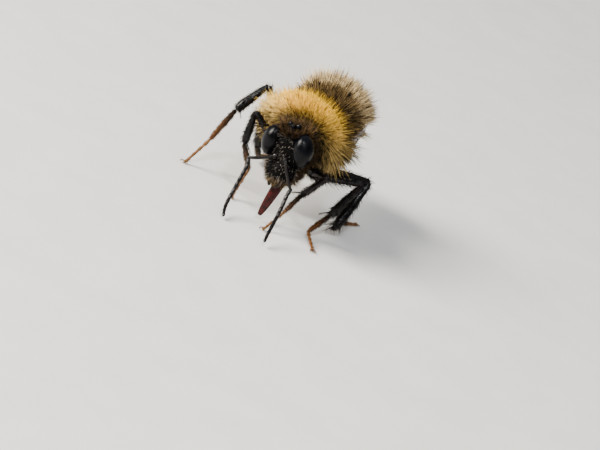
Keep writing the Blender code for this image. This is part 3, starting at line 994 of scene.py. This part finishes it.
def paint_skin(piece):
    """Gives the skin the coat's own markings, with painted shade: darkened by the hairs' root shade and
    halved again, as if in the shadow of the hair.
    """
    points, normals, _ = surface(piece)
    plan = coat_plan(points, normals)
    # Painted shade under the coat: the root shade halved; black where black hairs grow.
    tint = dye(plan.colour * (plan.root * 0.5)[:, None], BLACK, np.clip(plan.black * 1.6, 0, 1))
    paint(piece.data, tint)


def paint(mesh, tint):
    """Stores a colour at each vertex, for the materials to read."""
    layer = mesh.attributes.new("tint", "FLOAT_COLOR", "POINT")
    layer.data.foreach_set("color", np.column_stack((tint, np.ones(len(tint)))).astype(np.float32).ravel())


def gather(roots, tips, rng, strength):
    """How far each hair's tip is drawn to the tip of the hair that leads its clump."""
    leaders = rng.choice(len(roots), max(len(roots) // CLUMP, 1), replace=False)
    tree = KDTree(len(leaders))
    for index, leader in enumerate(leaders):
        tree.insert(roots[leader], index)
    tree.balance()
    nearest = leaders[[tree.find(root)[1] for root in roots]]
    return (tips[nearest] - tips) * (strength * rng.uniform(0.3, 1, len(roots)))[:, None]


def clear_lengths(tree, legs, roots, directions, lengths):
    """Shortens the hairs that would run into an eye, a wing, a leg or the skin, or end beside a leg."""
    for index, (root, direction) in enumerate(zip(roots, directions)):
        start = Vector(root) + Vector(direction) * HAIR_LIFT
        distance = tree.ray_cast(start, direction, lengths[index])[3]
        if distance is not None:
            lengths[index] = max(min(lengths[index], (distance + HAIR_LIFT) * 0.85), SHORTEST)
        tip = Vector(root) + Vector(direction) * lengths[index]
        gap = legs.find_nearest(tip, LEG_ROOM)[3]
        if gap is not None:
            lengths[index] = max(lengths[index] * (0.4 + 0.6 * gap / LEG_ROOM), SHORTEST)
    return lengths


def grow(name, material, roots, directions, bends, lengths, widths, tints, painted_root_shade, unwrap):
    """One mesh of solid hairs, each a three-sided spike in four steps, with painted shade that darkens it
    towards the root.
    """
    count, sides = len(roots), range(HAIR_SIDES)
    side = unit(np.cross(directions, ASKEW))
    other = np.cross(directions, side)
    stops = HAIR_STOPS[:, None, None]
    spine = roots + directions * lengths[:, None] * stops + bends * stops ** 2
    angles = np.arange(HAIR_SIDES) * 2 * math.pi / HAIR_SIDES
    spokes = side[:, None] * np.cos(angles)[None, :, None] + other[:, None] * np.sin(angles)[None, :, None]
    half = widths[None, :, None, None] * HAIR_TAPER[:, None, None, None] / 2
    rings = spine[:3, :, None] + spokes[None] * half
    rings = rings.transpose(1, 0, 2, 3).reshape(count, -1, 3)
    points = np.concatenate((rings, spine[3][:, None]), axis=1)

    faces = [(0, 2, 1)]
    for ring in (0, 3):
        for k in sides:
            a, b = ring + k, ring + (k + 1) % HAIR_SIDES
            faces += [(a, b, b + 3), (a, b + 3, a + 3)]
    faces += [(6 + k, 6 + (k + 1) % HAIR_SIDES, 9) for k in sides]
    faces = np.array(faces)
    corners = (faces[None] + np.arange(count)[:, None, None] * HAIR_POINTS).ravel()

    mesh = bpy.data.meshes.new(name)
    mesh.vertices.add(count * HAIR_POINTS)
    mesh.vertices.foreach_set("co", points.astype(np.float32).ravel())
    mesh.loops.add(len(corners))
    mesh.loops.foreach_set("vertex_index", corners.astype(np.int32))
    mesh.polygons.add(len(corners) // 3)
    mesh.polygons.foreach_set("loop_start", np.arange(0, len(corners), 3, dtype=np.int32))
    mesh.update(calc_edges=True)

    heights = np.repeat(HAIR_STOPS, (3, 3, 3, 1))
    # Painted shade: each hair darkens from its tip towards its root, as if shaded inside the coat.
    depth = painted_root_shade[:, None] + (1 - painted_root_shade[:, None]) * heights[None] ** 0.8
    paint(mesh, (tints[:, None] * depth[:, :, None]).reshape(-1, 3))
    around = np.array((0, 1, 2) * 3 + (1,)) / 2
    patch = np.column_stack((around, heights))[faces.ravel()] * PATCH
    low, high = unwrap.min(axis=0), unwrap.max(axis=0)
    corner = (unwrap - low) / (high - low) * (1 - PATCH)
    layer = mesh.uv_layers.new(name="OFBake")
    layer.data.foreach_set("uv", (corner[:, None] + patch[None]).astype(np.float32).ravel())
    finish_piece(set_up(name, mesh), name, material, "coat")


def ball_unwrap(points, centre):
    """Angle round the body's long axis, and angle from it: an unwrap of a round form."""
    away = unit(points - np.array(centre))
    return np.column_stack((np.arctan2(away[:, 0], away[:, 2]), np.arccos(np.clip(away[:, 1], -1, 1))))


def length_unwrap(points):
    """Angle round the abdomen's axis, and place along it."""
    away = points - np.array([abdomen_axis(y) for y in points[:, 1]])
    return np.column_stack((np.arctan2(away[:, 0], away[:, 2]), points[:, 1]))


def make_body_coat(skin, tree, legs, material, rng):
    points, normals, corners = surface(skin)
    roots, facing = scatter(points, normals, corners, coat_plan(points, normals).density, BODY_HAIRS, rng)
    plan = coat_plan(roots, facing)
    count = len(roots)
    dark = rng.random(count) < plan.black
    tints = np.where(dark[:, None], BLACK, plan.colour) * rng.uniform(0.6, 1.25, count)[:, None]
    guard = rng.random(count) < plan.guards
    under = rng.uniform(0.55 + 0.33 * plan.crown, 0.92 + 0.05 * plan.crown, count)
    beyond = (0.1 + plan.shag) * rng.random(count) ** 2
    reach = np.where(guard, 0.96 + beyond, under)
    stray = rng.normal(0, 0.14, (count, 3)) * np.where(guard, 1.3, 1)[:, None]
    directions = unit(facing + plan.lie + stray)
    length = clear_lengths(tree, legs, roots, directions, plan.length * reach)
    pull = np.where(guard, 0.55, 0.8) * (1 - 0.85 * plan.crown)
    bends = gather(roots, roots + directions * length[:, None], rng, pull)
    bends += plan.lie * 0.12 * length[:, None]
    widths = np.clip(0.008 + 0.032 * length, THINNEST, THICKEST) * rng.uniform(0.8, 1.2, count)
    roots = roots - facing * HAIR_SINK

    maps = ball_unwrap(to_head(roots), (0, 0, 0)), ball_unwrap(roots, THORAX), length_unwrap(roots)
    orders = roots[:, 2], maps[1][:, 0], roots[:, 1]
    for name, zone, unwrap, order in zip(("head", "thorax", "abdomen"), body_zones(roots), maps, orders):
        hairs = (roots, directions, bends, length, widths, tints, plan.root, unwrap)
        members = np.flatnonzero(zone)
        members = members[np.argsort(order[members])]
        for number, part in enumerate(np.array_split(members, math.ceil(len(members) / PIECE_HAIRS)), 1):
            grow(f"{name}_coat_{number}", material, *(column[part] for column in hairs))


def make_leg_coat(pieces, material, rng):
    """Short bristles that lie along each leg, longer under the thighs and along the hind shins."""
    for wanted in ("left", "right"):
        kept = []
        for number, (piece, kind, pair, side, start, run) in enumerate(pieces):
            if side != wanted:
                continue
            count, usual, lean, colour = LEG_HAIR[kind]
            points, normals, corners = surface(piece)
            above = (points[:, 2] > 3 * FLOOR_CLEARANCE).astype(float)
            roots, facing = scatter(points, normals, in_order(points, corners), above, count, rng)
            under = ease(-facing[:, 2], 0.2, 0.8)
            length = usual * rng.uniform(0.7, 1.2, count)
            if kind == "femur":
                length *= 1 + 0.7 * under
            if kind == "tibia" and pair == "hind":
                length *= 1 + 1.3 * rng.random(count)
            directions = unit(facing + np.array(run) * lean + rng.normal(0, 0.15, (count, 3)))
            tints = colour * rng.uniform(0.7, 1.3, count)[:, None]
            around = np.arctan2(facing[:, 0], facing[:, 2])
            along = (roots - np.array(start)) @ np.array(run)
            unwrap = np.column_stack((around, along / 4 + number))
            kept.append((roots, directions, length, tints, unwrap))
        roots, directions, length, tints, unwrap = (np.concatenate(column) for column in zip(*kept))
        low = roots[:, 2] < length + FLOOR_CLEARANCE
        directions[low, 2] = np.abs(directions[low, 2])
        widths = LEG_THICK * rng.uniform(0.8, 1.2, len(roots))
        # Painted shade at the bristles' roots.
        painted_root_shade = np.full(len(roots), 0.7)
        grow(f"leg_coat_{wanted}", material, roots, directions, directions * 0, length, widths, tints,
             painted_root_shade, unwrap)


def surface_tree(pieces):
    """The faces of several pieces, in millimetres, ready to be searched."""
    points, faces = [], []
    for piece in pieces:
        start = len(points)
        points += [vertex.co / MM for vertex in piece.data.vertices]
        faces += [[start + corner for corner in polygon.vertices] for polygon in piece.data.polygons]
    return BVHTree.FromPolygons(points, faces)


def make_coat(skin, legs, material):
    rng = np.random.default_rng(SEED)
    kinds = ("eye_lens", "forewing_membrane", "hindwing_membrane", "scape", "jaw")
    names = ["ocelli"] + [f"{kind}_{side}" for kind in kinds for side, _ in SIDES]
    tree = surface_tree([skin] + [bpy.data.objects[name] for name in names] + [leg[0] for leg in legs])
    shins = surface_tree([leg[0] for leg in legs if leg[1] != "coxa"])
    make_body_coat(skin, tree, shins, material, rng)
    make_leg_coat(legs, material, rng)


# ---- studio

def make_camera():
    camera = bpy.data.cameras.new("camera")
    camera.sensor_width = SENSOR
    camera.lens = SENSOR * CAMERA_DISTANCE / CAMERA_BREADTH
    camera.clip_start, camera.clip_end = 0.01, 10.0
    holder = set_up("camera", camera)
    place = VIEW.to_4x4()
    place.translation = (CAMERA_AIM + VIEW.col[2] * CAMERA_DISTANCE) * MM
    holder.matrix_world = place
    bpy.context.scene.camera = holder


def add_lamp(name, toward, distance, size, power, colour):
    """A soft square lamp that shines on the bee from a direction."""
    lamp = bpy.data.lights.new(name, "AREA")
    lamp.shape = "SQUARE"
    lamp.size = size * MM
    lamp.energy = power
    lamp.color = colour
    holder = set_up(name, lamp)
    toward = toward.normalized()
    holder.rotation_euler = toward.to_track_quat("Z", "Y").to_euler()
    holder.location = (THORAX + toward * distance) * MM


def make_studio():
    right, up, back = VIEW.col
    add_lamp("key", up * 0.75 - right * 0.5 + back * 0.45, 300, 140, 2.95, (1, 0.95, 0.87))
    add_lamp("sparkle", up * 0.55 + right * 0.3 + back * 0.75, 300, 30, 0.45, (0.95, 0.97, 1))
    add_lamp("fill", right * 0.5 + back + UP * 0.6, 400, 300, 0.3, (0.92, 0.95, 1))
    world = bpy.data.worlds.new("studio")
    world.use_nodes = True
    sky = world.node_tree.nodes["Background"].inputs
    sky["Color"].default_value, sky["Strength"].default_value = (0.93, 0.95, 1, 1), 0.28
    bpy.context.scene.world = world
    pick()
    bpy.ops.mesh.primitive_plane_add(size=6.0, location=(0, 0, 0))
    floor = bpy.context.object
    floor.name = "floor"
    finish = Finish("floor", 0.75, 0.5)
    finish.colour(4.0, (0.74, 0.73, 0.7), (0.78, 0.77, 0.74))
    floor.data.materials.append(finish.material)


def main():
    make_camera()
    make_studio()
    black_shell = shell_finish("black_shell", shade(8, 6, 6), shade(22, 17, 15))
    jaw_shell = shell_finish("jaw_shell", shade(8, 6, 5), shade(30, 16, 10))
    tongue_shell = shell_finish("tongue_shell", shade(34, 7, 7), shade(72, 16, 13))
    vein_shell = shell_finish("vein_shell", shade(34, 20, 11), shade(80, 48, 24))
    eye = eye_finish()
    make_eyes(eye)
    make_ocelli(eye)
    make_lip(jaw_shell)
    make_jaws(jaw_shell)
    make_tongue(tongue_shell, jaw_shell)
    make_feelers(black_shell)
    legs = make_legs(black_shell, foot_finish())
    make_wings(membrane_finish(), vein_shell)
    skin = make_skin(skin_finish())
    paint_skin(skin)
    make_coat(skin, legs, coat_finish())


main()
